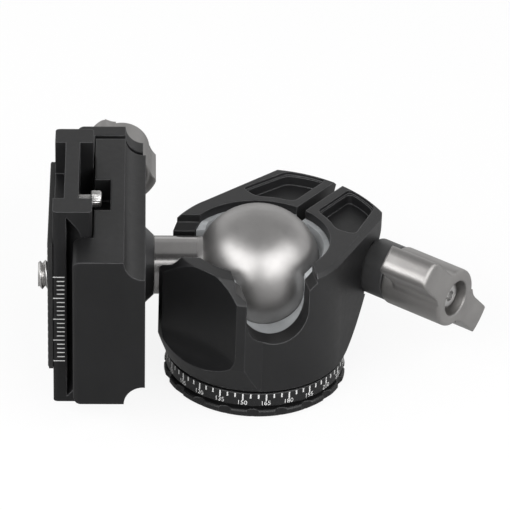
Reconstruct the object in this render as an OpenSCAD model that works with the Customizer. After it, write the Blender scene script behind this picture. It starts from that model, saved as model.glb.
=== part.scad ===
// Tripod ball head with two drop notches, a panning base with a degree dial, a wing lock knob
// and a screw clamp that holds a dovetail camera plate.
// Millimetres. Origin: bottom centre of the base, mouth of the tripod thread. +Z is the pan axis.
// The head is drawn with its stem lying in the left notch (towards -X).

/* [Base] */
// Diameter of the dial ring
base_d = 38.4; // [36:0.2:42]
// Height of the scalloped foot ring
foot_h = 1.9; // [1.7:0.1:2.2]
// Height of the base, up to the top of the dial ring
base_h = 6; // [5.8:0.1:7]
// Number of grip scallops round the foot ring
foot_scallops = 20; // [12:1:24]
// Radius of one grip scallop
scallop_r = 1.7; // [1.2:0.1:2]
// Wall radius of the tripod thread hole, 3/8 inch 16 turns an inch, at its thread crests
tripod_bore_r = 4; // [3.9:0.05:4.2]
// Depth of the tripod thread hole
tripod_bore_depth = 9.4; // [8:0.2:9.8]
// Radius of the pan axle's shank
axle_r = 6.95; // [6.4:0.05:7.4]

/* [Housing] */
// Azimuth of the clamp block and its slit, counter-clockwise from +X
block_az = 54; // [40:1:60]
// Height of the housing's flat top above the ground
housing_top = 33.2; // [32.4:0.1:34.5]
// Radius of the bore that holds the ball liner
bore_r = 15.2; // [15:0.1:15.6]
// Radius of the body beside the notches
body_r = 19.4; // [19.2:0.1:19.8]
// Radius of the front wing between the two notches
wing_r = 22.2; // [21.6:0.1:22.6]
// Radius of the flared body at the dial
waist_r = 19.4; // [19:0.1:19.8]
// Reach of the clamp block from the pan axis
block_reach = 29.8; // [28.5:0.1:31]
// Angle by which the clamp block's sides draw in
block_taper = 11.4; // [9:0.2:13]
// Width of the slit through the clamp block
slit_w = 2.3; // [1.6:0.1:2.6]
// Depth of the two top pockets
pocket_depth = 3; // [1.5:0.1:3.6]
// Half the angle between the two drop notches
notch_half_angle = 50.8; // [50.3:0.1:51.2]
// Clearance of a drop notch round the stem
notch_gap = 0.8; // [0.75:0.05:1]
// Depth of the thumb scoop in the front wing
scoop_depth = 4; // [3.2:0.1:4.4]
// Height of the scoop's lower edge above the ground
scoop_z = 10; // [9.5:0.1:12]

/* [Ball] */
// Diameter of the ball
ball_d = 26.56; // [26:0.04:26.8]
// Height of the ball's centre above the ground
ball_z = 26.2; // [26:0.1:26.6]
// Diameter of the stem
stem_d = 12.4; // [11.6:0.1:12.6]
// Distance from the ball's centre to the end of the plain stem
stem_len = 22.1; // [21.8:0.1:24]
// Angle of the stem from upright as it is stored
tilt_rest = 90.75; // [90:0.05:92]
// Turn of the clamp about the stem as it is stored
twist_rest = 3.1; // [0:0.1:5]
// Azimuth of the stem as it is stored, from -X
stem_yaw = 2.1; // [1.5:0.1:2.1]

/* [Lock knob] */
// Distance of the lock bolt from the pan axis
bolt_u = 21; // [20.4:0.1:21.6]
// Height of the lock bolt
bolt_z = 22.5; // [21.6:0.1:23.4]
// Radius of the lock bolt
bolt_r = 3; // [2.6:0.1:3.2]
// Radius of the knob's hub
knob_hub_r = 6.4; // [6.2:0.1:7]
// Reach of the knob's wings
knob_wing_r = 15.2; // [12:0.1:15.6]
// Thickness of a wing
knob_wing_w = 6.2; // [5:0.1:6.8]
// Length of the knob's hub
knob_hub_len = 15.2; // [14.4:0.1:17]
// Length of the knob's wings
knob_wing_len = 11.8; // [9:0.1:13]
// Turn of the wings about the bolt as stored
knob_turn = 134; // [0:1:180]

/* [Clamp] */
// Length of the clamp along the camera plate
clamp_len = 33.5; // [32.6:0.1:36]
// Distance from the clamp's middle to the fixed jaw's outer face
fixed_jaw_y = 30.2; // [29:0.1:31]
// Distance from the clamp's middle to the moving jaw's outer face
moving_jaw_y = 31.8; // [31.2:0.1:33]
// Thickness of the clamp under the plate
clamp_floor = 10.8; // [10.4:0.1:12]
// Height of the jaws above the clamp's floor
jaw_h = 4.2; // [3.9:0.1:4.4]
// Radius of the coves along the clamp's back edges
cove_r = 4; // [2:0.1:4.2]
// Opening travel of the moving jaw
jaw_travel = 3; // [2:0.1:3.2]
// Radius of the clamp knob's hub
clamp_knob_hub_r = 6.2; // [5.8:0.1:6.6]
// Reach of the clamp knob's wings
clamp_knob_wing_r = 8.2; // [7.4:0.1:8.6]
// Length of the clamp knob
clamp_knob_len = 13.2; // [11:0.1:14]

/* [Camera plate] */
// Width of the camera plate, over its dovetail foot
plate_w = 38; // [37.6:0.1:38.2]
// Length of the camera plate
plate_len = 45.2; // [44:0.1:48]
// Thickness of the camera plate
plate_t = 8.2; // [7.8:0.1:8.6]
// Height of the rubber pad above the plate
pad_proud = 1.1; // [0.8:0.1:1.6]
// Length of the rubber pad
pad_len = 29.8; // [27:0.1:30.2]
// Outer radius of the camera screw's thread, 1/4 inch 20 turns an inch
camera_screw_r = 3.1; // [2.9:0.05:3.15]
// Height of the camera screw above the rubber pad
camera_screw_proud = 2.4; // [2:0.1:4]

/* [Hidden] */
$fn = 96;

// Clearances
run_gap = 0.05;       // a shaft in its bore
seat_gap = 0.05;      // faces that turn on each other
part_gap = 0.25;      // parts that pass without touching
over = 1;             // how far a cutter runs past what it cuts

// Base
foot_r = base_d / 2 + 0.3;
bearing_seat = 0.4;
core_r = base_d / 2 - 2.2;
foot_bore_r = core_r - 3;
axle_flange_r = axle_r + 2.2;
axle_flange_t = 2;
sole_z = 0.2;
bearing_t = 0.55;

// Housing
housing_z = base_h - bearing_seat + bearing_t + seat_gap;
housing_floor = housing_z + 4.2;
washer_t = 0.5;
circlip_t = 0.8;
circlip_z = housing_floor + seat_gap + washer_t + seat_gap;
axle_top = circlip_z + circlip_t + 0.4;
ball_r = ball_d / 2;
liner_ledge_z = housing_floor + 4.6;
liner_lip = 2;
liner_top = housing_top - liner_lip;
stem_r = stem_d / 2;
notch_r = stem_r + notch_gap;
notch_z = ball_z - 0.7;
notch_flare = 1.8;
top_edge = 0.9;
top_flat_r = body_r - top_edge;
scoop_half_w = 10;
wing_half_angle = 31.9;
wing_blend_angle = 43;
front_turn = -1.3;
scoop_corner_r = 6.5;
slit_floor = housing_floor;
collar_r = 6.1;
spotface_w = 15.6;
collar_end = 21.7;
knob_start = collar_end + seat_gap;
pan_lock_z = housing_z + 1.95;
pan_lock_r = 1.4;

// Head, in its own frame: stem along +Z from the ball's centre, plate along X, jaws along Y
clamp_z = stem_len + 1.8;
floor_z = clamp_z + clamp_floor;
jaw_top = floor_z + jaw_h;
half_len = clamp_len / 2;
clamp_axis_z = clamp_z + clamp_floor / 2;
plate_z = floor_z + 0.3;
plate_top = plate_z + plate_t;
half_plate = plate_w / 2;
groove_top = plate_top - 2.8;
groove_low = plate_z + 2.2;
groove_depth = groove_top - groove_low;
groove_end = plate_len / 2 - 6.2;
groove_cutter_r = 5.5;
lip_gap = 0.12;
plate_travel = 2.2;
lip_half = groove_end - plate_travel;
skirt_y = moving_jaw_y - 4.2;
jaw_gap = 1.6;
base_end_y = skirt_y - jaw_gap;
nut_len = 8.6;
nut_seat_y = base_end_y - nut_len - 0.4;
hex_r = 2.3;
hex_depth = 2.4;
through = 60;
draw_r = 2.5;
nut_r = draw_r + 1.55;
pin_r = 1.5;
pin_x = 11;
clamp_knob_y = 42;
clamp_knob_turn = 128;
recess_half = 12.8;
screw_x = -2.5;
screw_travel = 4;
stop_x = 15.7;
stop_r = 1.8;

module head_frame()
    translate([0, 0, ball_z]) rotate([0, 0, stem_yaw]) rotate([0, -tilt_rest, 0]) rotate([0, 0, twist_rest])
        children();

// The block's frame: +X along the slit, away from the pan axis
module block_frame()
    rotate([0, 0, block_az]) children();

// Along the lock bolt, +Z pointing out to the knob
module bolt_frame()
    block_frame() translate([bolt_u, 0, bolt_z]) rotate([90, 0, 0]) children();

// Across the clamp along its draw screw, +Z pointing out to the clamp knob
module draw_frame()
    head_frame() translate([0, 0, clamp_axis_z]) rotate([-90, 0, 0]) children();

module tube(r_out, r_in, h)
    difference() {
        cylinder(r = r_out, h = h);
        translate([0, 0, -over]) cylinder(r = r_in, h = h + 2 * over);
    }

function unit(v) = v / norm(v);
// Points of a rounded corner at q, between p and s, that starts the distance d from q
function corner(p, q, s, d) =
    let (a = unit(p - q), b = unit(s - q))
    [for (t = [0:0.2:1]) q + a * d * pow(1 - t, 2) + b * d * pow(t, 2)];
// A polygon with every corner rounded
function rounded(points, d) =
    let (n = len(points))
    [for (i = [0:n - 1]) each corner(points[(i + n - 1) % n], points[i], points[(i + 1) % n], d)];

// What a corner at the origin loses when it is rounded; the solid lies towards -X and -Y
module corner_cut(r)
    polygon(concat([[over, over], [-r, over]],
                   [for (a = [90:-15:0]) [-r + r * cos(a), -r + r * sin(a)]],
                   [[over, -r]]));

// A turned disc with both outer edges rounded
module turned(r, h, edge)
    rotate_extrude()
        polygon(concat([[0, 0]], corner([0, 0], [r, 0], [r, h], edge),
                       corner([r, 0], [r, h], [0, h], edge), [[0, h]]));

// ---- base ----
module base_plate()
    color("#2a2a2c")
    difference() {
        union() {
            translate([0, 0, foot_h]) cylinder(r = core_r, h = base_h - bearing_seat - foot_h);
            translate([0, 0, sole_z]) cylinder(r = foot_bore_r, h = foot_h - sole_z);
        }
        translate([0, 0, -over]) cylinder(r = axle_r, h = base_h + 2 * over);
        translate([0, 0, -over]) cylinder(r = axle_flange_r, h = axle_flange_t + over);
    }

module dial_ring()
    color("#28282a")
    rotate_extrude()
        polygon([[core_r, foot_h], [foot_r - 1.2, foot_h], [foot_r - 1, foot_h + 0.3], [base_d / 2, foot_h + 1.1],
                 [base_d / 2, base_h - 0.15], [base_d / 2 - 0.15, base_h], [core_r + 0.5, base_h],
                 [core_r + 0.5, base_h - bearing_seat], [core_r, base_h - bearing_seat]]);

module foot_ring()
    color("#242426")
    difference() {
        rotate_extrude()
            polygon([[foot_bore_r, 0], [foot_r - 0.7, 0], [foot_r, 0.6], [foot_r, foot_h - 0.3],
                     [foot_r - 0.3, foot_h], [foot_bore_r, foot_h]]);
        for (i = [0:foot_scallops - 1])
            rotate([0, 0, -90 + i * 360 / foot_scallops])
                translate([foot_r + scallop_r * 0.55, 0, -over]) cylinder(r = scallop_r, h = foot_h + 2 * over);
    }

module pan_axle()
    color("silver")
    difference() {
        union() {
            cylinder(r = axle_flange_r, h = axle_flange_t);
            cylinder(r = axle_r, h = axle_top);
        }
        translate([0, 0, -over]) cylinder(r = tripod_bore_r, h = tripod_bore_depth + over);
        translate([0, 0, circlip_z]) tube(axle_r + over, axle_r - 0.7, circlip_t);
    }

module pan_bearing()
    color("white")
    translate([0, 0, base_h - bearing_seat]) tube(core_r + 0.3, axle_flange_r, bearing_t);

module thrust_washer()
    color("goldenrod")
    translate([0, 0, housing_floor + seat_gap]) tube(axle_r + 4, axle_r + run_gap, washer_t);

module pan_circlip()
    color("#555558")
    translate([0, 0, circlip_z])
        difference() {
            tube(axle_r + 2, axle_r - 0.7, circlip_t);
            translate([0, -2.5, -over]) cube([2 * axle_r, 5, circlip_t + 2 * over]);
        }

// ---- housing ----
// Plan of the round pot with its front wing
module pot_plan() {
    circle(r = body_r);
    root = (body_r - 0.2) * [-cos(wing_blend_angle), sin(wing_blend_angle)];
    crest = wing_r * [-cos(wing_half_angle), sin(wing_half_angle)];
    past = crest + 4 * unit(crest - root);
    rotate(front_turn)
        intersection() {
            circle(r = wing_r);
            polygon([[0, 0], root, past, [-60, 0], [past[0], -past[1]], [root[0], -root[1]]]);
        }
}

// Pot and wing with one 45 degree cone round their top edges
module pot()
    difference() {
        translate([0, 0, housing_z]) linear_extrude(height = housing_top - housing_z) pot_plan();
        rotate_extrude()
            polygon([[top_flat_r, housing_top], [top_flat_r + 6, housing_top - 6],
                     [top_flat_r + 6, housing_top + over], [top_flat_r, housing_top + over]]);
    }

// The clamp block: its tapering sides run out of the pot, its corners are clipped, its end is an arc
module clamp_block() {
    block_round = 1.9;
    side_r = body_r - 0.03;
    foot = side_r * [sin(block_taper), cos(block_taper)];
    along = [cos(block_taper), -sin(block_taper)];
    far = foot + sqrt(pow(block_reach, 2) - pow(side_r, 2)) * along;
    near_end = far - block_round * along;
    past = far + block_round / block_reach * [far[1], -far[0]];
    out = past + 9 * unit(past - near_end);
    half = concat([foot], corner(foot, near_end, past, 0.9), corner(near_end, past, out, 0.9), [out]);
    difference() {
        translate([0, 0, housing_z])
            linear_extrude(height = housing_top - housing_z)
                polygon(concat([[0, 0]], half, [for (i = [len(half) - 1:-1:0]) [half[i][0], -half[i][1]]]));
        for (side = [0, 1])
            mirror([0, side, 0])
                translate([foot[0], foot[1], housing_top]) rotate([0, 0, -block_taper]) rotate([45, 0, 0])
                    cube([60, top_edge * sqrt(2), top_edge * sqrt(2)], center = true);
    }
}

// The flare from the waist to the block, turned about the pan axis
module body_flare()
    rotate_extrude()
        polygon(concat(
            [[0, housing_z]],
            corner([0, housing_z], [waist_r, housing_z], [block_reach - 0.3, housing_top - top_edge], 1.3),
            [[block_reach - 0.3, housing_top - top_edge], [block_reach - 0.3 - top_edge, housing_top],
             [0, housing_top]]));

// One drop notch, cut outwards along its azimuth
module notch_cut(r, flare, reach)
    rotate([90, 0, 90])
        linear_extrude(height = reach)
            union() {
                translate([0, notch_z]) circle(r = r);
                polygon([[-r, notch_z], [r, notch_z], [r, notch_z + 4.6], [r + flare, notch_z + 5.8],
                         [r + flare, housing_top + over], [-r - flare, housing_top + over],
                         [-r - flare, notch_z + 5.8], [-r, notch_z + 4.6]]);
            }

module both_notches(r, flare, reach)
    for (side = [-1, 1])
        rotate([0, 0, 180 + front_turn + side * notch_half_angle]) notch_cut(r, flare, reach);

// Plan of one top pocket, on the left of the slit
module pocket_plan(grow) {
    inner = bore_r + 2.2 - grow;
    outer = block_reach - 1.6 + grow;
    web = slit_w / 2 + 2.4 - grow;
    wall = body_r - 2.5 + grow;
    tilt = block_taper + 4;
    back = 13.6 - grow;
    end_u = outer * cos(25);
    far_u = back + 0.9;
    polygon(rounded([
        [sqrt(inner * inner - web * web), web],
        [sqrt(outer * outer - web * web), web],
        outer * [cos(14), sin(14)],
        [end_u, (wall + 0.9 - end_u * sin(tilt)) / cos(tilt)],
        [far_u, (wall + 0.9 - far_u * sin(tilt)) / cos(tilt)],
        [back, sqrt(inner * inner - back * back)],
        inner * [cos(26), sin(26)]], 1.5));
}

module top_pockets() {
    step_t = 0.8;
    for (side = [0, 1])
        mirror([0, side, 0]) {
            translate([0, 0, housing_top - pocket_depth])
                linear_extrude(height = pocket_depth + over) pocket_plan(0);
            translate([0, 0, housing_top - step_t])
                linear_extrude(height = step_t + over) pocket_plan(0.45);
        }
}

// Thumb scoop in the front wing: a wide hollow with a ball-nosed lower edge, open at the wing's chamfer
module thumb_scoop() {
    floor_r = wing_r - scoop_depth;
    chord_r = sqrt(pow(wing_r, 2) - pow(scoop_half_w, 2));
    sag = chord_r - floor_r;
    cutter_r = (pow(scoop_half_w, 2) + sag * sag) / (2 * sag);
    c = scoop_corner_r;
    rotate([0, 0, front_turn])
        translate([-floor_r - cutter_r, 0, scoop_z])
            rotate_extrude()
            polygon(concat(
                [[cutter_r - 20, 0]],
                [for (a = [-90:6:0]) [cutter_r - c + c * cos(a), c + c * sin(a)]],
                [[cutter_r, 40], [cutter_r - 20, 40]]));
}

module housing()
    color("#1f1f21")
    difference() {
        block_frame()
            difference() {
                intersection() {
                    union() {
                        pot();
                        clamp_block();
                    }
                    body_flare();
                }
                translate([0, 0, liner_ledge_z]) cylinder(r = bore_r, h = 60);
                translate([0, 0, housing_floor]) cylinder(r = bore_r - 1.7, h = 60);
                cylinder(r = axle_r + run_gap, h = 60);
                both_notches(notch_r, notch_flare, 40);
                top_pockets();
                thumb_scoop();
                translate([bore_r - 2, -slit_w / 2, slit_floor]) cube([30, slit_w, 60]);
                translate([bolt_u, 0, bolt_z]) rotate([90, 0, 0]) {
                    translate([0, 0, -40]) cylinder(r = bolt_r + 0.3, h = 80);
                    translate([0, 0, -40]) cylinder(r = bolt_r + 2.4, h = 40 - 11.4);
                    translate([0, 0, -40]) cylinder(r = bolt_r + 3.4, h = 40 - 14.9);
                    translate([0, 0, spotface_w]) cylinder(r = collar_r + 0.5, h = 20);
                }
            }
        pan_lock_frame() {
            cylinder(r = pan_lock_r + run_gap, h = 40);
            translate([0, 0, waist_r - 1]) cylinder(r = 3.9, h = 20);
        }
    }

module ball_liner()
    color("#9ba0a3")
    block_frame()
        difference() {
            translate([0, 0, liner_ledge_z + 0.02])
                cylinder(r = bore_r - 0.02, h = liner_top - liner_ledge_z - 0.02);
            translate([0, 0, ball_z]) sphere(r = ball_r + 0.08);
            translate([0, 0, ball_z + 3]) cylinder(r1 = ball_r - 0.1, r2 = ball_r + 0.7, h = liner_top - ball_z - 3 + 0.01);
            cylinder(r = 9, h = 60);
            both_notches(notch_r + 0.5, notch_flare, 40);
            translate([0, -slit_w / 2, 0]) cube([30, slit_w, 60]);
        }

// ---- ball lock ----
module lock_nut()
    color("silver")
    bolt_frame()
        difference() {
            union() {
                translate([0, 0, -14.9]) cylinder(r = bolt_r + 2.35, h = 3.5);
                translate([0, 0, -16.3]) cylinder(r = bolt_r + 3.35, h = 1.4);
            }
            translate([0, 0, -40]) cylinder(r = bolt_r + run_gap, h = 60);
        }

module lock_collar()
    color("#222224")
    bolt_frame()
        translate([0, 0, spotface_w + 0.02])
            difference() {
                turned(collar_r, collar_end - spotface_w - 0.02, 0.5);
                translate([0, 0, -over]) cylinder(r = bolt_r + 0.3, h = 20);
            }

// A wing knob along +Z: a round hub with two straight wings, filleted into it
module wing_knob(hub_r, wing_r, wing_w, hub_len, wing_len, edge) {
    half_w = wing_w / 2;
    start = hub_len - wing_len;
    fillet_r = hub_r * 0.62;
    lap = 0.03;
    fy = half_w + fillet_r;
    fx = sqrt(pow(hub_r + fillet_r, 2) - fy * fy);
    turned(hub_r, hub_len, edge);
    translate([0, 0, start])
        intersection() {
            linear_extrude(height = wing_len)
                for (side = [0, 1])
                    mirror([side, 0, 0])
                        union() {
                            polygon(rounded([[hub_r * 0.3, -half_w], [wing_r, -half_w], [wing_r, half_w],
                                             [hub_r * 0.3, half_w]], half_w * 0.7));
                            difference() {
                                polygon([[hub_r * 0.4, 0], [fx * 0.8, fy * 0.8], [fx, fy], [fx, -fy],
                                         [fx * 0.8, -fy * 0.8]]);
                                translate([fx, fy]) circle(r = fillet_r - lap);
                                translate([fx, -fy]) circle(r = fillet_r - lap);
                            }
                        }
            turned(wing_r + 0.2, wing_len, edge * 2.2);
        }
}

module lock_knob()
    color("#8a8785")
    bolt_frame()
        rotate([0, 0, knob_turn])
            translate([0, 0, knob_start])
                difference() {
                    wing_knob(knob_hub_r, knob_wing_r, knob_wing_w, knob_hub_len, knob_wing_len, 0.8);
                    translate([0, 0, -over]) cylinder(r = bolt_r, h = 60);
                    translate([0, 0, knob_hub_len - 3.2]) cylinder(r = 4, h = 10);
                }

module lock_bolt()
    color("silver")
    bolt_frame()
        translate([0, 0, -16]) cylinder(r = bolt_r, h = 16 + knob_start + knob_hub_len - 6.2);

// A domed screw with a hex socket, head at z 0 to t, shank below
module dome_screw(head_r, t, shank_r, shank_len, hex_r)
    difference() {
        union() {
            translate([0, 0, -shank_len]) cylinder(r = shank_r, h = shank_len + 0.1);
            rotate_extrude()
                polygon(concat(
                    [[0, 0], [head_r, 0]],
                    [for (a = [0:15:90]) [head_r - t * 0.8 * (1 - cos(a)), t * 0.25 + t * 0.75 * sin(a)]],
                    [[0, t]]));
        }
        translate([0, 0, t - 1.1]) cylinder(r = hex_r, h = 4, $fn = 6);
    }

module lock_knob_screw()
    color("#b9b9ba")
    bolt_frame()
        translate([0, 0, knob_start + knob_hub_len - 3.2]) dome_screw(3.3, 1.7, bolt_r - 0.02, 2.9, 1.3);

// ---- pan lock ----
module pan_lock_frame()
    rotate([0, 0, block_az + 90]) translate([0, 0, pan_lock_z]) rotate([0, 90, 0]) children();

module pan_lock_shoe()
    color("goldenrod")
    pan_lock_frame()
        difference() {
            cylinder(r = pan_lock_r, h = axle_r + 3.5);
            rotate([0, 90, 0]) cylinder(r = axle_r + run_gap, h = 20, center = true);
        }

module pan_lock_knob()
    color("#2a2a2c")
    pan_lock_frame()
        translate([0, 0, axle_r + 3.7]) {
            cylinder(r = pan_lock_r, h = waist_r + 1.2 - axle_r - 3.7);
            translate([0, 0, waist_r + 0.4 - axle_r - 3.7]) turned(3.5, 2.2, 0.5);
        }

// ---- ball and stem ----
module ball_stem()
    color("#b0acaa")
    head_frame()
        difference() {
            union() {
                sphere(r = ball_r);
                cylinder(r = stem_r, h = stem_len);
            }
            translate([0, 0, stem_len - 12]) cylinder(r = bolt_r + run_gap, h = 30);
        }

// ---- clamp ----
// Section of a jaw above the clamp's floor, as distance from the middle and height; its lip holds the
// plate's 45 degree flank
module jaw_section(low, outer) {
    lip = half_plate - (jaw_top - 0.3 - groove_low) + lip_gap * sqrt(2);
    polygon(concat(
        [[outer, low], [half_plate + part_gap, low], [half_plate + part_gap, groove_low - part_gap + lip_gap * sqrt(2)],
         [lip, jaw_top - 0.3], [lip + 0.3, jaw_top]],
        corner([lip, jaw_top], [outer, jaw_top], [outer, low], 1.2)));
}

// Extrudes a (y, z) section over the clamp's length, side 1 for the moving jaw, -1 for the fixed jaw
module along_clamp(side)
    mirror([0, side < 0 ? 1 : 0, 0])
        rotate([90, 0, 90]) translate([0, 0, -half_len]) linear_extrude(height = clamp_len) children();

// Rounds the clamp's top corners at both ends
module clamp_corners()
    for (side = [0, 1])
        mirror([side, 0, 0])
            translate([half_len, 60, jaw_top]) rotate([90, 0, 0]) linear_extrude(height = 120) corner_cut(1.6);

// Ends the lips short of the jaws' ends, so that the plate slides without meeting the ends of its grooves
module lip_ends()
    for (side = [0, 1])
        mirror([side, 0, 0])
            translate([lip_half, -half_plate - part_gap - 0.2, groove_low - 0.6])
                cube([through, 2 * (half_plate + part_gap + 0.2), through]);

module back_coves()
    for (side = [-1, 1])
        translate([side * half_len, -60, clamp_z + 0.4]) rotate([-90, 0, 0]) cylinder(r = cove_r, h = 120);

module clamp_base()
    color("#1f1f21")
    head_frame()
        difference() {
            union() {
                translate([-half_len, -fixed_jaw_y, clamp_z]) cube([clamp_len, fixed_jaw_y + base_end_y, clamp_floor]);
                along_clamp(-1) jaw_section(floor_z - 1, fixed_jaw_y);
            }
            back_coves();
            clamp_corners();
            lip_ends();
            // pockets in which the plate's stop screws run
            for (side = [0, 1])
                mirror([side, 0, 0])
                    translate([half_len - 5.3, -7, floor_z - 3.4]) cube([10, 14, 10]);
            // clamp screw, countersunk in the floor
            translate([0, 0, clamp_z - over]) cylinder(r = bolt_r + 0.15, h = 40);
            translate([0, 0, floor_z - 3.4]) cylinder(r = 5.6, h = 10);
            // draw nut and draw screw
            translate([0, 0, clamp_axis_z]) rotate([-90, 0, 0]) {
                translate([0, 0, 8]) cylinder(r = draw_r + 0.3, h = 40);
                translate([0, 0, nut_seat_y]) cylinder(r = nut_r + 0.05, h = 40);
                for (x = [-pin_x, pin_x])
                    translate([x, 0, 0]) {
                        translate([0, 0, 13]) cylinder(r = pin_r + run_gap, h = 40);
                        translate([0, 0, base_end_y - 6]) cylinder(r = pin_r + 1.1, h = 40);
                    }
            }
        }

module stem_collar()
    color("#3a3a3c")
    head_frame()
        translate([0, 0, stem_len + 0.02])
            difference() {
                cylinder(r1 = stem_r + 0.1, r2 = stem_r + 1.8, h = clamp_z - stem_len - 0.02);
                translate([0, 0, -over]) cylinder(r = bolt_r + 0.15, h = 20);
            }

module clamp_screw()
    color("silver")
    head_frame()
        difference() {
            union() {
                translate([0, 0, stem_len - 10.5]) cylinder(r = bolt_r, h = floor_z - stem_len + 8);
                translate([0, 0, floor_z - 3.4]) cylinder(r = 5, h = 3.1);
            }
            translate([0, 0, floor_z - hex_depth]) cylinder(r = hex_r, h = through, $fn = 6);
        }

module draw_nut()
    color("goldenrod")
    draw_frame()
        translate([0, 0, nut_seat_y]) tube(nut_r, draw_r + run_gap, nut_len);

// Two compression springs round the guide pins, each one unbroken wire
spring_turns = 4;
wire_r = 0.3;
spring_r = pin_r + 0.65;
spring_len = jaw_gap + 5.6;
spring_steps = 12;
wire_sides = 6;
spring_n = spring_turns * spring_steps;
function coil_at(i) =
    let (a = 360 * i / spring_steps)
    [spring_r * cos(a), spring_r * sin(a), wire_r + 0.1 + (spring_len - 2 * wire_r - 0.2) * i / spring_n];
function coil_ring(i) =
    let (a = 360 * i / spring_steps, p = coil_at(i))
    [for (k = [0:wire_sides - 1])
        let (b = 360 * k / wire_sides)
        p + wire_r * [cos(b) * cos(a), cos(b) * sin(a), sin(b)]];
module coil_spring() {
    rings = [for (i = [0:spring_n]) each coil_ring(i)];
    s = wire_sides;
    sides = [for (i = [0:spring_n - 1]) for (k = [0:s - 1])
        each let (a = i * s + k, b = i * s + (k + 1) % s)
            [[a, b, b + s], [a, b + s, a + s]]];
    ends = [[for (k = [s - 1:-1:0]) k], [for (k = [0:s - 1]) spring_n * s + k]];
    polyhedron(points = rings, faces = concat(sides, ends), convexity = 10);
}

module jaw_springs()
    color("silver")
    draw_frame()
        for (x = [-pin_x, pin_x])
            translate([x, 0, base_end_y - 5.9]) coil_spring();

// ---- moving jaw ----
module moving_jaw()
    color("#1f1f21")
    head_frame()
        difference() {
            union() {
                along_clamp(1) jaw_section(floor_z + part_gap, moving_jaw_y);
                translate([-half_len, skirt_y, clamp_z + 0.6])
                    cube([clamp_len, moving_jaw_y - skirt_y, clamp_floor - 0.3]);
            }
            back_coves();
            clamp_corners();
            lip_ends();
            translate([0, 0, clamp_axis_z]) rotate([-90, 0, 0]) {
                cylinder(r = draw_r + run_gap, h = 60);
                for (x = [-pin_x, pin_x])
                    translate([x, 0, 0]) cylinder(r = pin_r, h = 60);
            }
        }

module guide_pins()
    color("silver")
    draw_frame()
        for (x = [-pin_x, pin_x])
            translate([x, 0, 14]) cylinder(r = pin_r, h = moving_jaw_y - 14.3);

module jaw_collar()
    color("#2b2b2d")
    draw_frame()
        translate([0, 0, moving_jaw_y + 0.02])
            difference() {
                turned(clamp_knob_hub_r - 0.8, clamp_knob_y - moving_jaw_y - 0.07, 0.5);
                translate([0, 0, -over]) cylinder(r = draw_r + run_gap, h = 20);
            }

module clamp_knob()
    color("#8a8785")
    draw_frame()
        rotate([0, 0, clamp_knob_turn])
            translate([0, 0, clamp_knob_y])
                difference() {
                    wing_knob(clamp_knob_hub_r, clamp_knob_wing_r, 6.4, clamp_knob_len, clamp_knob_len - 1.2, 0.8);
                    translate([0, 0, -over]) cylinder(r = draw_r, h = 60);
                    translate([0, 0, clamp_knob_len - 2.6]) cylinder(r = 3.2, h = 10);
                }

module draw_screw()
    color("silver")
    draw_frame()
        translate([0, 0, 10]) cylinder(r = draw_r, h = clamp_knob_y + clamp_knob_len - 5.2 - 10);

module clamp_knob_screw()
    color("#b9b9ba")
    draw_frame()
        translate([0, 0, clamp_knob_y + clamp_knob_len - 2.6]) dome_screw(2.7, 1.3, draw_r - 0.02, 2.5, 1);

// ---- camera plate ----
module plate_section()
    polygon(rounded([[-half_plate, plate_z], [half_plate, plate_z], [half_plate, plate_top],
                     [-half_plate, plate_top]], 1.1));

// The dovetail grooves, cut by a cone-nosed cutter that stops short of the plate's ends
module dovetail_grooves()
    for (side = [0, 1])
        mirror([0, side, 0]) {
            rotate([90, 0, 90]) translate([0, 0, -groove_end])
                linear_extrude(height = 2 * groove_end)
                    polygon([[half_plate, groove_low], [half_plate - groove_depth, groove_top],
                             [half_plate + over, groove_top], [half_plate + over, groove_low]]);
            for (x = [-groove_end, groove_end])
                translate([x, half_plate + groove_cutter_r - groove_depth, groove_low])
                    cylinder(r1 = groove_cutter_r - groove_depth, r2 = groove_cutter_r, h = groove_depth);
        }

// The slot along which the camera screw slides
module screw_slot(r) {
    for (x = [screw_x - screw_travel, screw_x + screw_travel])
        translate([x, 0, 0]) cylinder(r = r, h = 20);
    translate([screw_x - screw_travel, -r, 0]) cube([2 * screw_travel, 2 * r, 20]);
}

module camera_plate()
    color("#1f1f21")
    head_frame()
        difference() {
            rotate([90, 0, 90]) translate([0, 0, -plate_len / 2])
                linear_extrude(height = plate_len) plate_section();
            dovetail_grooves();
            // open channel under the plate
            translate([-plate_len / 2 - over, -recess_half, plate_z - over])
                cube([plate_len + 2 * over, 2 * recess_half, 2.9 + over]);
            // open recesses in the top at both ends of the rubber pad
            for (side = [0, 1])
                mirror([side, 0, 0])
                    translate([pad_len / 2 + 0.1, -recess_half, plate_top - 2.3])
                        cube([20, 2 * recess_half, 10]);
            // slot for the camera screw
            translate([0, 0, plate_z]) screw_slot(camera_screw_r + part_gap);
            // threads of the stop screws
            for (x = [-stop_x, stop_x])
                translate([x, 0, plate_z]) cylinder(r = 1, h = 20);
        }

module rubber_pad()
    color("#141415")
    head_frame()
        difference() {
            translate([-pad_len / 2, -half_plate + 0.5, plate_top + 0.01]) cube([pad_len, plate_w - 1, pad_proud]);
            translate([0, 0, plate_top - over]) screw_slot(camera_screw_r + 2 * part_gap);
        }

module stop_screws()
    color("silver")
    head_frame()
        for (x = [-stop_x, stop_x])
            translate([x, 0, 0])
                difference() {
                    union() {
                        translate([0, 0, plate_z + 0.5]) cylinder(r = 0.98, h = plate_t - 3);
                        translate([0, 0, plate_z - 1.8]) turned(stop_r, 2.3, 0.25);
                    }
                    translate([0, 0, plate_z - 1.8 - over]) cylinder(r = 0.9, h = over + 1.2, $fn = 6);
                }

module screw_clip()
    color("#555558")
    head_frame()
        translate([screw_x, 0, plate_z + 2.2]) tube(6, camera_screw_r - 0.35, 0.6);

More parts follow.
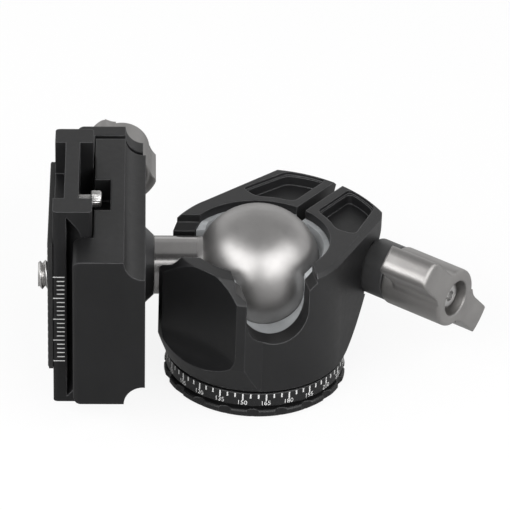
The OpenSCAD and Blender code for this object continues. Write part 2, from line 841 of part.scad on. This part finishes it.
module camera_screw()
    color("silver")
    head_frame()
        translate([screw_x, 0, 0])
            difference() {
                union() {
                    translate([0, 0, plate_z + 0.2]) turned(6.3, 1.9, 0.3);
                    translate([0, 0, plate_z + 1])
                        cylinder(r = camera_screw_r - 0.4, h = plate_t + pad_proud);
                    translate([0, 0, plate_top + pad_proud + 0.1]) {
                        cylinder(r = camera_screw_r, h = camera_screw_proud - 0.6);
                        translate([0, 0, camera_screw_proud - 0.6])
                            cylinder(r1 = camera_screw_r, r2 = camera_screw_r - 0.5, h = 0.5);
                    }
                }
                translate([-10, -0.6, plate_z - over]) cube([20, 1.2, over + 1]);
            }

base_plate();
dial_ring();
foot_ring();
pan_axle();
pan_bearing();
thrust_washer();
pan_circlip();
housing();
ball_liner();
lock_nut();
lock_collar();
pan_lock_shoe();
pan_lock_knob();
lock_knob();
lock_bolt();
lock_knob_screw();
ball_stem();
clamp_base();
stem_collar();
clamp_screw();
draw_nut();
jaw_springs();
moving_jaw();
guide_pins();
jaw_collar();
clamp_knob();
draw_screw();
clamp_knob_screw();
camera_plate();
rubber_pad();
stop_screws();
screw_clip();
camera_screw();
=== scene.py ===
import bpy
import bmesh
import math
from mathutils import Matrix, Vector


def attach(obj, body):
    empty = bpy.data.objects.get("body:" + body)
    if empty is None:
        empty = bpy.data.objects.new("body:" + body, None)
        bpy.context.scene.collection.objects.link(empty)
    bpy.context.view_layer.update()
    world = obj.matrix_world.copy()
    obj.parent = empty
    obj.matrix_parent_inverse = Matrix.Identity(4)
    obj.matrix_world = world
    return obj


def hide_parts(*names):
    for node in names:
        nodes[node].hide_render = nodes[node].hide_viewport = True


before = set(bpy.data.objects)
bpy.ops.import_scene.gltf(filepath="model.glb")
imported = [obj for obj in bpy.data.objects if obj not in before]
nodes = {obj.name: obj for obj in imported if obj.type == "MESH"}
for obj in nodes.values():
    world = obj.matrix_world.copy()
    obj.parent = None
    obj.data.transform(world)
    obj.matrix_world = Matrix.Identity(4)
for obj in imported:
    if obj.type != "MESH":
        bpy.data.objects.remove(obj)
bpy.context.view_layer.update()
MM = 0.001
UPRIGHT = Matrix.Identity(4)


def shift(x, y, z):
    return Matrix.Translation((x, y, z))


def turn(degrees, axis):
    return Matrix.Rotation(math.radians(degrees), 4, axis)


# ---- sizes and frames, in millimetres and degrees, as in the part's source ----
DIAL_R = 19.2
DIAL_TOP = 6.0
BLOCK_AZ = 54
BOLT_U = 21
BOLT_Z = 22.5
BALL_Z = 26.2
STEM_YAW = 2.1
TILT_REST = 90.75
TWIST_REST = 3.1
CLAMP_Z = 23.9
FLOOR_Z = CLAMP_Z + 10.8
PLATE_Z = FLOOR_Z + 0.3
PLATE_TOP = PLATE_Z + 8.2
HALF_PLATE = 19.0
HALF_PAD_LEN = 14.9
PAD_BASE = PLATE_TOP + 0.01
PAD_TOP = PAD_BASE + 1.1
SCREW_X = -2.5
SCREW_R = 3.1
SCREW_TOP = PLATE_TOP + 3.5
STOP_X = 15.7
STOP_R = 1.8

# the head's frame: stem along +Z from the ball's centre, plate along X, jaws along Y
HEAD = shift(0, 0, BALL_Z) @ turn(STEM_YAW, "Z") @ turn(-TILT_REST, "Y") @ turn(TWIST_REST, "Z")
# along the lock bolt, +Z pointing out to the knob
BOLT = turn(BLOCK_AZ, "Z") @ shift(BOLT_U, 0, BOLT_Z) @ turn(90, "X")

# ---- camera, as fitted to the photograph ----
PHOTO_SIDE = 510
BALL_PIXEL = (257.8, 265.0)
PIXELS_PER_MM = 4.70
FOCAL_PIXELS = 4500.0
CAMERA_ELEVATION = math.radians(31.5)
CAMERA_ROLL = math.radians(1.97)
SENSOR_WIDTH = 36.0


def make_camera():
    """Places the camera so that the ball's centre shows at its place in the photograph."""
    forward = Vector((0, math.cos(CAMERA_ELEVATION), -math.sin(CAMERA_ELEVATION)))
    level_up = Vector((0, math.sin(CAMERA_ELEVATION), math.cos(CAMERA_ELEVATION)))
    level_right = Vector((1, 0, 0))
    right = math.cos(CAMERA_ROLL) * level_right + math.sin(CAMERA_ROLL) * level_up
    up = math.cos(CAMERA_ROLL) * level_up - math.sin(CAMERA_ROLL) * level_right
    distance = FOCAL_PIXELS / PIXELS_PER_MM
    across = (BALL_PIXEL[0] - PHOTO_SIDE / 2) / PIXELS_PER_MM
    above = (PHOTO_SIDE / 2 - BALL_PIXEL[1]) / PIXELS_PER_MM
    place = -distance * forward - across * right - above * up + Vector((0, 0, BALL_Z))
    data = bpy.data.cameras.new("camera")
    data.sensor_width = SENSOR_WIDTH
    data.lens = FOCAL_PIXELS / PHOTO_SIDE * SENSOR_WIDTH
    data.clip_start = 0.05
    data.clip_end = 20
    camera = bpy.data.objects.new("camera", data)
    pose = Matrix((right, up, -forward)).transposed().to_4x4()
    pose.translation = place * MM
    camera.matrix_world = pose
    bpy.context.scene.collection.objects.link(camera)
    bpy.context.scene.camera = camera


make_camera()


# ---- materials ----
NOISE_LOW = 0.3  # most of a noise's values lie between these two
NOISE_HIGH = 0.7
MIX_SOCKETS = {"FLOAT": (0, 2, 3, 0), "RGBA": (0, 6, 7, 2)}  # share, first, second, result


def scaled(colour, share):
    return [min(1, c * share) for c in colour]


class Nodes:
    """Makes and links the nodes of a material or of the world."""

    def __init__(self, tree):
        self.tree = tree

    def put(self, socket, value):
        """Gives a socket a number, a colour or another node's output."""
        if isinstance(value, (int, float)):
            socket.default_value = value
        elif isinstance(value, (tuple, list)):
            socket.default_value = (*value, 1)[:4]
        else:
            self.tree.links.new(value, socket)

    def node(self, kind, inputs=(), **settings):
        made = self.tree.nodes.new(kind)
        for key, value in settings.items():
            setattr(made, key, value)
        for key, value in dict(inputs).items():
            self.put(made.inputs[key], value)
        return made

    def mapping(self, vector, scale, rotation=(0, 0, 0), location=(0, 0, 0)):
        made = self.node("ShaderNodeMapping", {"Vector": vector})
        made.inputs["Scale"].default_value = scale
        made.inputs["Rotation"].default_value = rotation
        made.inputs["Location"].default_value = location
        return made.outputs["Vector"]

    def coords(self, matrix=None, stretch=(1, 1, 1)):
        """Object coordinates in millimetres, and in the frame of matrix where one is given."""
        metres = self.node("ShaderNodeTexCoord").outputs["Object"]
        if matrix is None:
            return self.mapping(metres, (1000, 1000, 1000))
        inverse = matrix.inverted()
        local = self.mapping(metres, (1000, 1000, 1000), inverse.to_euler(), inverse.translation)
        return self.mapping(local, stretch)

    def axis(self, vector, letter):
        return self.node("ShaderNodeSeparateXYZ", {0: vector}).outputs[letter]

    def noise(self, vector, scale, detail=3, roughness=0.5):
        inputs = {"Vector": vector, "Scale": scale, "Detail": detail, "Roughness": roughness}
        return self.node("ShaderNodeTexNoise", inputs).outputs["Fac"]

    def remap(self, value, low, high, start=0.0, end=1.0, kind="LINEAR"):
        """Takes a value from start..end to low..high."""
        inputs = {"Value": value, "From Min": start, "From Max": end, "To Min": low, "To Max": high}
        return self.node("ShaderNodeMapRange", inputs, interpolation_type=kind).outputs["Result"]

    def mix(self, share, a, b, kind="RGBA"):
        """Goes from a to b as share goes from 0 to 1."""
        *sockets, result = MIX_SOCKETS[kind]
        return self.node("ShaderNodeMix", zip(sockets, (share, a, b)), data_type=kind).outputs[result]

    def calc(self, operation, a, b):
        return self.node("ShaderNodeMath", {0: a, 1: b}, operation=operation).outputs[0]

    def weigh(self, share, a, b):
        """A share of a and the rest of b."""
        return self.calc("ADD", self.calc("MULTIPLY", a, share), self.calc("MULTIPLY", b, 1 - share))


class Material(Nodes):
    """A procedural material on a Principled shader."""

    def __init__(self, name, inputs=()):
        self.made = bpy.data.materials.new(name)
        self.made.use_nodes = True
        super().__init__(self.made.node_tree)
        self.shader = self.tree.nodes["Principled BSDF"]
        for key, value in dict(inputs).items():
            self.feed(key, value)

    def feed(self, key, value):
        self.put(self.shader.inputs[key], value)

    def tone(self, value, base, darker, lighter):
        """The base colour, uneven between a darker and a lighter share of itself."""
        made = self.node("ShaderNodeValToRGB", {"Fac": value})
        first, last = made.color_ramp.elements
        first.position = NOISE_LOW
        first.color = (*scaled(base, darker), 1)
        last.position = NOISE_HIGH
        last.color = (*scaled(base, lighter), 1)
        return made.outputs["Color"]

    def roughness(self, value, rough):
        """A roughness that follows a noise between the two values of rough."""
        return self.remap(value, *rough, NOISE_LOW, NOISE_HIGH)

    def rounded_normal(self, radius):
        """The surface's normal as if its edges were rounded."""
        return self.node("ShaderNodeBevel", {"Radius": radius * MM}, samples=6).outputs["Normal"]

    def edges(self, radius):
        """Near 1 on edges, which handling wears and where a highlight is painted, and 0 on faces."""
        face = self.node("ShaderNodeNewGeometry").outputs["Normal"]
        inputs = {0: self.rounded_normal(radius), 1: face}
        dot = self.node("ShaderNodeVectorMath", inputs, operation="DOT_PRODUCT")
        lean = self.calc("SUBTRACT", 1.0, dot.outputs["Value"])
        return self.remap(lean, 0.0, 0.9, 0.02, 0.24)

    def bump(self, height, depth, strength, bevel):
        """Raises the surface by a noise, depth in millimetres, with its edges rounded by bevel."""
        normal = self.rounded_normal(bevel)
        inputs = {"Height": height, "Distance": depth * MM, "Strength": strength, "Normal": normal}
        self.feed("Normal", self.node("ShaderNodeBump", inputs).outputs["Normal"])


def anodised(name, base, edge_wear_and_highlight, rough, grain, bump, bevel=0.3, metallic=0.0, edge_wear_and_highlight_spread=0.5, gloss=0.5, polish=None):
    """A matt surface with specks, fine grit and paler edges, partly rubbed by handling and partly a painted
    highlight.

    Where polish is given as (frame, from height, to height, share), the roughness falls to that share of
    itself past those heights in the frame.
    """
    m = Material(name, {"Metallic": metallic, "Specular IOR Level": gloss})
    place = m.coords()
    fine = m.noise(place, grain, 4, 0.6)
    broad = m.noise(place, 0.12)
    patches = m.noise(place, 0.6, 4, 0.6)
    specks = m.remap(fine, 0.0, 0.35, 0.45, 0.75)
    colour = m.mix(specks, m.tone(broad, base, 0.88, 1.12), scaled(base, 1.5))
    # painted highlight: edges turn paler in patches, partly rubbed by handling and partly a painted highlight
    # on rounded edges
    edge_wear_and_highlight_share = m.calc("MULTIPLY", m.edges(0.32), m.remap(patches, 0.45, 0.45 + edge_wear_and_highlight_spread, 0.35, 0.65))
    m.feed("Base Color", m.mix(edge_wear_and_highlight_share, colour, edge_wear_and_highlight))
    grit = m.roughness(m.weigh(0.5, fine, patches), rough)
    if polish:
        matrix, start, end, share = polish
        height = m.axis(m.coords(matrix), "Z")
        grit = m.calc("MULTIPLY", grit, m.remap(height, 1.0, share, start, end))
    m.feed("Roughness", grit)
    m.bump(fine, bump, 0.6, bevel)
    return m.made


def plastic(name, base, rough, bump=0.02, grain=6.0, bevel=0.2):
    """An even moulded surface."""
    m = Material(name)
    place = m.coords()
    fine = m.noise(place, grain)
    m.feed("Base Color", m.tone(m.noise(place, 0.25), base, 0.9, 1.1))
    m.feed("Roughness", m.roughness(fine, rough))
    m.bump(fine, bump, 0.5, bevel)
    return m.made


def turned_metal(name, base, matrix, rough, ringed=True):
    """Bare metal with fine rings about the Z axis of matrix, as from a lathe, or with an even grain."""
    m = Material(name, {"Metallic": 0.9})
    stretch = (0.02, 0.02, 3.0) if ringed else (1, 1, 1)
    lines = m.noise(m.coords(matrix, stretch), 4.0, 4, 0.7)
    place = m.coords()
    fine = m.noise(place, 10, 2)
    pale = m.tone(m.noise(place, 0.3), base, 0.92, 1.0)
    line_share = m.remap(lines, 0.0, 0.5, NOISE_LOW, NOISE_HIGH)
    m.feed("Base Color", m.mix(line_share, pale, scaled(base, 0.86)))
    m.feed("Roughness", m.roughness(m.weigh(0.6, lines, fine), rough))
    m.bump(lines, 0.006, 0.4, 0.15)
    return m.made


# each finish's second colour is its paler edge, partly rubbed and partly a painted highlight
housing_mat = anodised("housing_anodised", (0.0075, 0.0075, 0.008), (0.12, 0.12, 0.124), rough=(0.36, 0.46),
                       grain=10, bump=0.012, bevel=0.45)
clamp_mat = anodised("clamp_anodised", (0.0062, 0.0062, 0.0066), (0.14, 0.14, 0.145), rough=(0.42, 0.52),
                     grain=10, bump=0.014, bevel=0.6, gloss=0.32)
plate_mat = anodised("plate_anodised", (0.0056, 0.0056, 0.006), (0.14, 0.14, 0.145), rough=(0.42, 0.52),
                     grain=10, bump=0.014, bevel=0.4, gloss=0.32)
dial_mat = anodised("dial_anodised", (0.0075, 0.0075, 0.008), (0.07, 0.07, 0.072), rough=(0.34, 0.44),
                    grain=8, bump=0.008)
foot_mat = anodised("foot_anodised", (0.0065, 0.0065, 0.007), (0.06, 0.06, 0.062), rough=(0.38, 0.48),
                    grain=8, bump=0.012, bevel=0.4)
knob_mat = anodised("knob_anodised", (0.29, 0.282, 0.276), (0.44, 0.43, 0.42), rough=(0.33, 0.41),
                    grain=12, bump=0.01, metallic=0.85, edge_wear_and_highlight_spread=0.35, bevel=0.9)
# smoother on the stem, above the ball
ball_mat = anodised("ball_finish", (0.345, 0.337, 0.333), (0.5, 0.49, 0.48), rough=(0.36, 0.42),
                    grain=14, bump=0.003, metallic=0.92, edge_wear_and_highlight_spread=0.3, polish=(HEAD, 12.4, 13.2, 0.45))
steel_mat = turned_metal("steel_screws", (0.62, 0.61, 0.60), HEAD, rough=(0.22, 0.36), ringed=False)
bolt_mat = turned_metal("steel_bolt", (0.55, 0.545, 0.54), BOLT, rough=(0.25, 0.4))
dark_mat = turned_metal("black_steel", (0.07, 0.07, 0.072), HEAD, rough=(0.3, 0.42))
bronze_mat = turned_metal("bronze_bush", (0.42, 0.27, 0.12), UPRIGHT, rough=(0.3, 0.45))
liner_mat = plastic("liner_moulded", (0.43, 0.445, 0.455), rough=(0.4, 0.5))
white_mat = plastic("bearing_moulded", (0.75, 0.75, 0.73), rough=(0.35, 0.5))
collar_mat = plastic("collar_moulded", (0.034, 0.034, 0.0345), rough=(0.34, 0.46), grain=8)
mark_mat = plastic("white_marks", (0.55, 0.55, 0.545), rough=(0.5, 0.65), bump=0.004, grain=20, bevel=0.01)
rubber_mat = plastic("pad_rubber", (0.012, 0.012, 0.012), rough=(0.65, 0.8), bump=0.06, grain=5)

PAINT = {
    "housing": housing_mat, "base_plate": dial_mat, "dial_ring": dial_mat, "foot_ring": foot_mat,
    "pan_axle": bolt_mat, "pan_bearing": white_mat, "thrust_washer": bronze_mat, "pan_circlip": dark_mat,
    "ball_liner": liner_mat, "lock_nut": bolt_mat, "lock_collar": collar_mat, "pan_lock_shoe": bronze_mat,
    "pan_lock_knob": foot_mat, "lock_knob": knob_mat, "lock_bolt": bolt_mat, "lock_knob_screw": bolt_mat,
    "ball_stem": ball_mat, "clamp_base": clamp_mat, "stem_collar": dark_mat, "clamp_screw": steel_mat,
    "draw_nut": bronze_mat, "jaw_springs": steel_mat, "moving_jaw": clamp_mat, "guide_pins": steel_mat,
    "jaw_collar": collar_mat, "clamp_knob": knob_mat, "draw_screw": steel_mat, "clamp_knob_screw": steel_mat,
    "camera_plate": plate_mat, "rubber_pad": rubber_mat, "stop_screws": steel_mat, "screw_clip": dark_mat,
    "camera_screw": steel_mat,
}
for name, material in PAINT.items():
    nodes[name].data.materials.clear()
    nodes[name].data.materials.append(material)


# ---- pieces in mesh code ----
def finish_piece(name, bm, matrix, body, material, smooth_deg=None):
    """Turns a mesh in millimetres, in the frame of matrix, into a piece that rides on body."""
    bmesh.ops.transform(bm, matrix=Matrix.Scale(MM, 4) @ matrix, verts=bm.verts)
    bmesh.ops.recalc_face_normals(bm, faces=bm.faces)
    mesh = bpy.data.meshes.new(name)
    if smooth_deg:
        for face in bm.faces:
            face.smooth = True
        for edge in bm.edges:
            edge.smooth = len(edge.link_faces) == 2 and edge.calc_face_angle(0) < math.radians(smooth_deg)
    bm.to_mesh(mesh)
    bm.free()
    mesh.materials.append(material)
    piece = bpy.data.objects.new(name, mesh)
    bpy.context.scene.collection.objects.link(piece)
    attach(piece, body)
    return piece


def node_mesh(name, matrix):
    """A copy of a CAD node's mesh, in millimetres in the frame of matrix."""
    bm = bmesh.new()
    bm.from_mesh(nodes[name].data)
    bmesh.ops.transform(bm, matrix=matrix.inverted() @ Matrix.Scale(1000, 4), verts=bm.verts)
    return bm


def shown_mesh(thing):
    """A new mesh of an object as it is shown, modifiers included."""
    bpy.context.view_layer.update()
    return bpy.data.meshes.new_from_object(thing.evaluated_get(bpy.context.evaluated_depsgraph_get()))


def carve(piece, cutter):
    """Cuts cutter out of piece and deletes cutter."""
    cut = piece.modifiers.new("cut", "BOOLEAN")
    cut.operation = "DIFFERENCE"
    cut.solver = "EXACT"
    cut.object = cutter
    mesh = shown_mesh(piece)
    piece.modifiers.clear()
    piece.data = mesh
    bpy.data.objects.remove(cutter)


def join_loops(bm, lower, upper):
    """Walls between two closed loops of vertices."""
    for k in range(len(lower)):
        j = (k + 1) % len(lower)
        bm.faces.new((lower[k], lower[j], upper[j], upper[k]))


def add_box(bm, low, high, place):
    """A box between two corners, each of its points put in place by a function."""
    corners = []
    for x in (low[0], high[0]):
        for y in (low[1], high[1]):
            for z in (low[2], high[2]):
                corners.append(bm.verts.new(place(Vector((x, y, z)))))
    for face in ((0, 1, 3, 2), (4, 6, 7, 5), (0, 4, 5, 1), (2, 3, 7, 6), (0, 2, 6, 4), (1, 5, 7, 3)):
        bm.faces.new([corners[i] for i in face])


def lathe(bm, rings, segments=48, x=0):
    """A solid about an upright axis at x.

    Its rings are (height, radius), and a radius is a number or a function of the angle.
    """
    loops = []
    for z, r in rings:
        loop = []
        for k in range(segments):
            a = 2 * math.pi * k / segments
            radius = r(a) if callable(r) else r
            loop.append(bm.verts.new((x + radius * math.cos(a), radius * math.sin(a), z)))
        loops.append(loop)
    for lower, upper in zip(loops, loops[1:]):
        join_loops(bm, lower, upper)
    bm.faces.new(loops[0][::-1])
    bm.faces.new(loops[-1])


def thread_rings(start, end, root_r, outer_r, pitch, tip=0.0, per_turn=12):
    """Rings of a right-handed screw thread, which tapers by tip at its end."""
    root_flat = 0.08
    steepness = 1.25

    def radius_at(z):
        def radius(a):
            phase = (z / pitch - a / (2 * math.pi)) % 1
            tooth = min(1, max(0, (1 - abs(2 * phase - 1) - root_flat) * steepness))
            return min(root_r + (outer_r - root_r) * tooth, outer_r - tip + max(0, end - z))
        return radius

    steps = max(2, round((end - start) / pitch * per_turn))
    heights = [start + (end - start) * i / steps for i in range(steps + 1)]
    return [(z, radius_at(z)) for z in heights]


def camera_screw():
    """The CAD screw's head and neck, with a 1/4 inch thread above the pad."""
    root_r = 2.45
    pitch = 1.27
    neck_end = (0, 0, PAD_TOP + 0.08)
    bm = node_mesh("camera_screw", HEAD)
    everything = bm.verts[:] + bm.edges[:] + bm.faces[:]
    bmesh.ops.bisect_plane(bm, geom=everything, plane_co=neck_end, plane_no=(0, 0, 1), clear_outer=True)
    lathe(bm, thread_rings(PAD_TOP + 0.06, SCREW_TOP - 0.01, root_r, SCREW_R, pitch, tip=0.55), x=SCREW_X)
    piece = finish_piece("camera_screw_cut", bm, HEAD, "camera_screw", steel_mat, 45)
    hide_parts("camera_screw")


def pan_axle():
    """The CAD axle with the 3/8 inch tripod thread cut in its bore."""
    start = -0.3
    end = 9.2
    root_r = 3.95
    outer_r = 4.7
    pitch = 1.5875
    piece = finish_piece("pan_axle_tapped", node_mesh("pan_axle", UPRIGHT), UPRIGHT, "base", bolt_mat, 35)
    bm = bmesh.new()
    lathe(bm, thread_rings(start, end, root_r, outer_r, pitch))
    carve(piece, finish_piece("thread_cutter", bm, UPRIGHT, "base", bolt_mat, 35))
    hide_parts("pan_axle")


def stop_screws():
    """Two small screws under the plate, with knurled heads and hex sockets."""
    shank_r = 0.98
    neck_r = 1.5
    socket_r = 0.78
    neck_z = PLATE_Z + 0.5
    end_z = PLATE_Z - 1.8

    def knurl(r):
        return lambda a: r * (1 + 0.035 * math.cos(24 * a))

    def hexagon(a):
        return socket_r / math.cos((a % (math.pi / 3)) - math.pi / 6)

    grip = knurl(STOP_R * 0.96)
    shank = [(PLATE_Z + 5.7, shank_r), (neck_z, shank_r)]
    head = [(neck_z, knurl(neck_r)), (neck_z - 0.2, grip), (end_z + 0.35, grip)]
    rounding = [(end_z + 0.08, 1.55), (end_z, 1.4)]
    socket = [(end_z, 1.05), (end_z + 0.12, hexagon), (end_z + 1.2, hexagon)]
    bm = bmesh.new()
    for x in (-STOP_X, STOP_X):
        lathe(bm, shank + head + rounding + socket, 96, x)
    piece = finish_piece("stop_screws_knurled", bm, HEAD, "plate", steel_mat, 40)
    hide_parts("stop_screws")


def stud_row(half, pitch):
    """Places from -half to half, each with 1 on top of a stud and 0 in a groove."""
    count = round(2 * half / pitch)
    step = 2 * half / count
    row = []
    for k in range(count):
        x = -half + k * step
        row += [(x, 0), (x + 0.12 * step, 0), (x + 0.28 * step, 1), (x + 0.84 * step, 1)]
    return row + [(half, 0)]


def slot_cutter():
    """A solid with the outline of the camera screw's slot in the pad."""
    slot_r = SCREW_R + 0.6
    run = 3.9
    segments = 64
    bm = bmesh.new()
    lower = []
    upper = []
    for k in range(segments):
        a = 2 * math.pi * (k + 0.5) / segments
        x = SCREW_X + (run if math.cos(a) > 0 else -run) + slot_r * math.cos(a)
        y = slot_r * math.sin(a)
        lower.append(bm.verts.new((x, y, PAD_BASE - 2)))
        upper.append(bm.verts.new((x, y, PAD_TOP + 2)))
    bm.faces.new(lower[::-1])
    bm.faces.new(upper)
    join_loops(bm, lower, upper)
    return finish_piece("slot_cutter", bm, HEAD, "plate", rubber_mat)


def studded_pad():
    """Rubber pad with rows of small studs, cut out round the camera screw's slot."""
    stud_pitch = 1.65
    stud_h = 0.2
    xs = stud_row(HALF_PAD_LEN, stud_pitch)
    ys = stud_row(HALF_PLATE - 0.5, stud_pitch)
    bm = bmesh.new()
    grid = [[bm.verts.new((x, y, PAD_TOP - stud_h * (1 - min(a, b)))) for y, b in ys] for x, a in xs]
    for near, far in zip(grid, grid[1:]):
        for k in range(len(ys) - 1):
            bm.faces.new((near[k], far[k], far[k + 1], near[k + 1]))
    rim = [row[0] for row in grid] + grid[-1][1:] + [row[-1] for row in grid[-2::-1]] + grid[0][-2:0:-1]
    foot = [bm.verts.new((v.co.x, v.co.y, PAD_BASE)) for v in rim]
    join_loops(bm, rim, foot)
    bm.faces.new(foot)
    pad = finish_piece("rubber_pad_studded", bm, HEAD, "plate", rubber_mat)
    carve(pad, slot_cutter())
    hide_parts("rubber_pad")


def add_number(bm, text, height, place):
    """Adds a number with its back at depth 0 and its front at 1, its points put in place by a function."""
    curve = bpy.data.curves.new("number", "FONT")
    curve.body = text
    curve.resolution_u = 3
    holder = bpy.data.objects.new("number", curve)
    bpy.context.scene.collection.objects.link(holder)
    mesh = shown_mesh(holder)
    xs = [v.co.x for v in mesh.vertices]
    ys = [v.co.y for v in mesh.vertices]
    middle = (min(xs) + max(xs)) / 2
    foot = min(ys)
    scale = height / (max(ys) - foot)
    part = bmesh.new()
    part.from_mesh(mesh)
    for item in bmesh.ops.extrude_face_region(part, geom=part.faces[:])["geom"]:
        if isinstance(item, bmesh.types.BMVert):
            item.co.z = 1
    for v in part.verts:
        v.co = place((v.co.x - middle) * scale, v.co.z, (v.co.y - foot) * scale)
    part.to_mesh(mesh)
    part.free()
    bm.from_mesh(mesh)
    bpy.data.meshes.remove(mesh)
    bpy.data.objects.remove(holder)
    bpy.data.curves.remove(curve)


def dial_marks():
    """Ticks every 5 degrees and plain numbers every 15 on the side of the dial ring."""
    tick_step = 5
    number_step = 15
    dial_turn = 156.6
    sunk = -0.03
    proud = 0.015
    tick_half_w = 0.16
    tick_top = DIAL_TOP - 0.2
    number_h = 1.05
    number_z = 3.14

    def along(degrees):
        return math.radians(degrees - dial_turn) * DIAL_R

    def on_ring(v):
        a = v.x / DIAL_R
        r = DIAL_R + v.y
        return Vector((r * math.sin(a), -r * math.cos(a), v.z))

    bm = bmesh.new()
    for degrees in range(0, 360, tick_step):
        x = along(degrees)
        length = 1.55 if degrees % number_step == 0 else 1.0
        low = (x - tick_half_w, sunk, tick_top - length)
        high = (x + tick_half_w, proud, tick_top)
        add_box(bm, low, high, on_ring)
    for degrees in range(0, 360, number_step):
        def place(across, depth, up, x=along(degrees)):
            return on_ring(Vector((x + across, proud if depth > 0.5 else sunk, number_z + up)))

        add_number(bm, str(degrees), number_h, place)
    marks = finish_piece("dial_numbers_and_ticks", bm, UPRIGHT, "base", mark_mat)


def plate_ruler():
    """Marks a millimetre apart along the near side of the camera plate, every fifth one long."""
    count = 21
    first_x = 7.24
    half_w = 0.09
    outer_y = -HALF_PLATE - 0.015
    inner_y = -HALF_PLATE + 0.03
    foot = PLATE_TOP - 2.45
    bm = bmesh.new()
    for i in range(count):
        x = first_x - i
        length = 2.4 if i % 5 == 0 else 1.6
        add_box(bm, (x - half_w, outer_y, foot), (x + half_w, inner_y, foot + length), Vector)
    marks = finish_piece("plate_ruler_marks", bm, HEAD, "plate", mark_mat)


camera_screw()
pan_axle()
stop_screws()
studded_pad()
dial_marks()
plate_ruler()


# ---- light and floor, in metres and watts ----
LAMP_TARGET = Vector((0, 0, 0.02))


def room_light():
    """A pale room, darker overhead and behind the camera. The camera and glass see it as plain white."""
    world = bpy.data.worlds.new("studio")
    bpy.context.scene.world = world
    world.use_nodes = True
    n = Nodes(world.node_tree)
    rays = n.node("ShaderNodeLightPath").outputs
    direction = n.node("ShaderNodeTexCoord").outputs["Generated"]
    by_height = n.remap(n.axis(direction, "Z"), 0.92, 0.14, 0.22, 0.85, "SMOOTHSTEP")
    by_depth = n.remap(n.axis(direction, "Y"), 0.2, 1.0, -0.55, 0.15, "SMOOTHSTEP")
    seen_white = n.calc("MAXIMUM", rays["Is Camera Ray"], rays["Is Transmission Ray"])
    strength = n.mix(seen_white, n.calc("MULTIPLY", by_height, by_depth), 1.0, "FLOAT")
    background = world.node_tree.nodes["Background"]
    n.put(background.inputs["Color"], (1, 1, 1))
    n.put(background.inputs["Strength"], strength)


def floor_paper():
    """White paper that glows for the camera, and in reflections more on the right, as from a white card."""
    m = Material("floor_paper", {"Base Color": (0.9, 0.9, 0.9), "Roughness": 0.9})
    rays = m.node("ShaderNodeLightPath").outputs
    place = m.node("ShaderNodeTexCoord").outputs["Object"]
    card = m.remap(m.axis(place, "X"), 0.27, 0.6, 0.02, 0.075)
    glow = m.remap(rays["Is Camera Ray"], card, 1.0)
    paper = m.node("ShaderNodeEmission", {"Color": (1, 1, 1), "Strength": glow}).outputs[0]
    share = m.remap(m.calc("MAXIMUM", rays["Is Camera Ray"], rays["Is Glossy Ray"]), 0.0, 0.88)
    both = m.node("ShaderNodeMixShader", {0: share, 1: m.shader.outputs[0], 2: paper}).outputs[0]
    m.put(m.tree.nodes["Material Output"].inputs["Surface"], both)
    return m.made


def make_floor():
    """A wide floor a little under the foot, so that the two don't share a plane."""
    half = 3
    gap = 0.0002
    mesh = bpy.data.meshes.new("floor")
    corners = [(-half, -half, 0), (half, -half, 0), (half, half, 0), (-half, half, 0)]
    mesh.from_pydata(corners, [], [(0, 1, 2, 3)])
    floor = bpy.data.objects.new("floor", mesh)
    floor.location.z = -gap
    bpy.context.scene.collection.objects.link(floor)
    mesh.materials.append(floor_paper())


def lamp(name, place, side, power):
    """A square lamp that faces the head."""
    data = bpy.data.lights.new(name, "AREA")
    data.energy = power
    data.size = side
    made = bpy.data.objects.new(name, data)
    made.location = place
    made.rotation_euler = (LAMP_TARGET - Vector(place)).to_track_quat("-Z", "Y").to_euler()
    bpy.context.scene.collection.objects.link(made)


room_light()
make_floor()
lamp("overhead", (0.0, 0.3, 0.85), side=1.2, power=1.2)
lamp("front_left", (-0.34, -0.58, 0.40), side=0.62, power=4.3)
lamp("front_right", (0.36, -0.56, 0.40), side=0.58, power=4.0)
lamp("side_left", (-0.75, -0.24, 0.46), side=0.55, power=3.5)
lamp("side_right", (0.72, -0.2, 0.5), side=0.5, power=2.0)


# ---- view transform ----
bpy.context.view_layer.update()
bpy.context.scene.view_settings.view_transform = "Standard"
